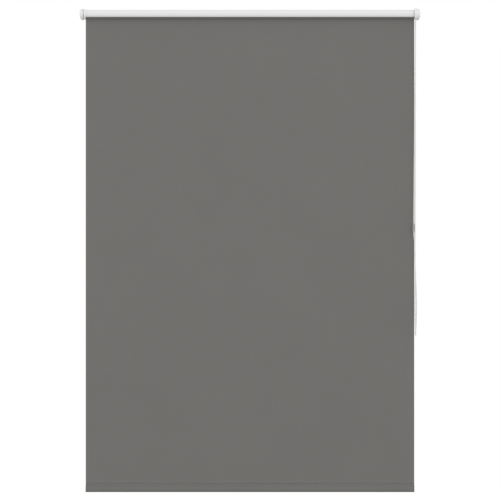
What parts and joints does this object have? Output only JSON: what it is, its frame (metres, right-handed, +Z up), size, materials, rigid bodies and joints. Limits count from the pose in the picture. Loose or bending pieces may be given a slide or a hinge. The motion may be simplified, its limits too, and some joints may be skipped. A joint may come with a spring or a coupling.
{
  "type": "roller blind",
  "caption": "Chain-operated roller blind: plain cloth on a tube between two wall brackets with end covers, and a weighted hem.",
  "frame": {"origin": "on the wall plane, in the middle of the four wall screw holes, level with the roller's axis", "axes": "+X to the right of someone facing the window, +Y into the wall, +Z up"},
  "size_m": [1.05, 0.0453, 1.4927],
  "materials": {
    "cloth": "matt grey fine plain-weave polyester blackout cloth",
    "white_tube": "white satin paint on an aluminium tube",
    "white_plastic": "white moulded plastic with a soft gloss",
    "chain_plastic": "white moulded beads on a woven thread",
    "connector_plastic": "greyish translucent moulded plastic",
    "grey_plastic": "grey acetal",
    "cap_plastic": "grey moulded plastic in the cloth's colour",
    "zinc_steel": "zinc-plated pressed steel",
    "bright_steel": "bright turned steel",
    "spring_steel": "spring wire",
    "bare_aluminium": "mill-finish flat bar",
    "tape": "double-sided mounting tape"
  },
  "bodies": {
    "root": {"control_bracket": "zinc_steel", "idle_bracket": "zinc_steel", "control_cover": "white_plastic", "idle_cover": "white_plastic", "chain_guard": "white_plastic", "clutch_spindle": "bright_steel", "spindle_clip": "spring_steel", "spindle_washer": "zinc_steel", "spindle_screw": "bright_steel", "idle_bush": "grey_plastic", "bead_chain": "chain_plastic", "fabric_panel": "cloth"},
    "roller": {"roller_tube": "white_tube", "adhesive_tape": "tape", "fabric_wrap": "cloth", "clutch_drum": "grey_plastic", "idle_plug": "white_plastic", "plug_cap": "grey_plastic", "idle_pin_spring": "spring_steel"},
    "chain_wheel": {"chain_wheel": "grey_plastic", "wheel_beads": "chain_plastic", "wrap_springs": "spring_steel"},
    "bottom_bar": {"bottom_bar": "bare_aluminium", "hem": "cloth", "bar_cap_left": "cap_plastic", "bar_cap_right": "cap_plastic"},
    "connector": {"connector_socket": "connector_plastic", "connector_insert": "connector_plastic"},
    "idle_pin": {"idle_pin": "bright_steel", "pin_collar": "grey_plastic"}
  },
  "joints": [
    {"name": "roller_turn", "type": "hinge", "parent": "root", "child": "roller", "pos_m": [0, -0.027, 0], "axis": [-1, 0, 0], "range_deg": [0, 4680]},
    {"name": "wheel_turn", "type": "hinge", "parent": "root", "child": "chain_wheel", "pos_m": [0.511, -0.027, 0], "axis": [-1, 0, 0], "range_deg": [0, 4680]},
    {"name": "bar_lift", "type": "slide", "parent": "root", "child": "bottom_bar", "axis": [0, 0, 1], "range_m": [0, 1.382], "deforming": ["fabric_panel"]},
    {"name": "connector_travel", "type": "slide", "parent": "root", "child": "connector", "axis": [0.0092, 0.0014, 1], "range_m": [0, 0.624]},
    {"name": "idle_pin_press", "type": "slide", "parent": "root", "child": "idle_pin", "axis": [1, 0, 0], "range_m": [0, 0.006], "stiffness_N_per_m": 400, "springref_m": -0.002, "deforming": ["idle_pin_spring"]}
  ],
  "couplings": [
    {"joint": "wheel_turn", "follows": "roller_turn", "ratio": 1},
    {"joint": "bar_lift", "follows": "roller_turn", "m_per_rad": 0.016919},
    {"joint": "connector_travel", "follows": "roller_turn", "m_per_rad": 0.0076394}
  ]
}
